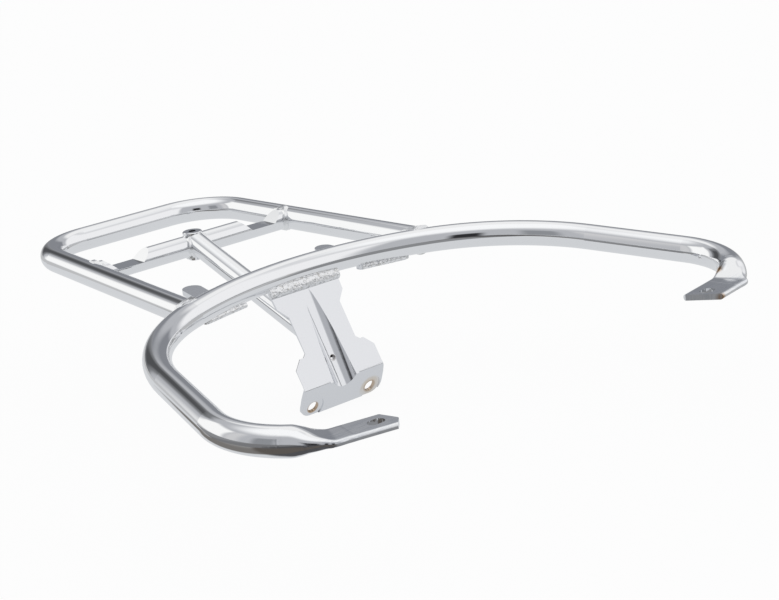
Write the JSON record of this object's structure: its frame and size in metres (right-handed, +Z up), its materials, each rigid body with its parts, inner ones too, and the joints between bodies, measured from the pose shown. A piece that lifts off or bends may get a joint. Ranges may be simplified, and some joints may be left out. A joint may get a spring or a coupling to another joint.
{
  "type": "motorcycle luggage rack",
  "caption": "Chromed tubular luggage rack with wide grab bar, slotted end tabs, looped carrier and a folded bracket plate on a brace.",
  "frame": {"origin": "midway between the two slotted tabs, on the flat underside they are bolted down by", "axes": "+X across the motorcycle, +Y rearward along it from the tabs to the carrier loop, +Z up"},
  "size_m": [0.5054, 0.6202, 0.126],
  "materials": {
    "chrome_tube": "bright polished chrome plate on steel tube",
    "chrome_sheet": "chrome plate on unpolished sheet, slightly satin",
    "chrome_weld": "chrome plate over rough weld beads"
  },
  "bodies": {
    "root": {"grab_bar": "chrome_tube", "carrier_loop": "chrome_tube", "cross_tube": "chrome_tube", "threaded_boss": "chrome_tube", "brace_tube": "chrome_tube", "bracket_plate": "chrome_sheet", "ear_left": "chrome_sheet", "ear_right": "chrome_sheet", "bead_bracket": "chrome_weld", "bead_ear_left": "chrome_weld", "bead_ear_right": "chrome_weld", "bead_loop_left": "chrome_weld", "bead_loop_right": "chrome_weld", "bead_cross_left": "chrome_weld", "bead_cross_right": "chrome_weld", "bead_boss_top": "chrome_weld", "bead_boss_bottom": "chrome_weld", "bead_brace_top": "chrome_weld", "bead_brace_foot": "chrome_weld"}
  },
  "joints": []
}
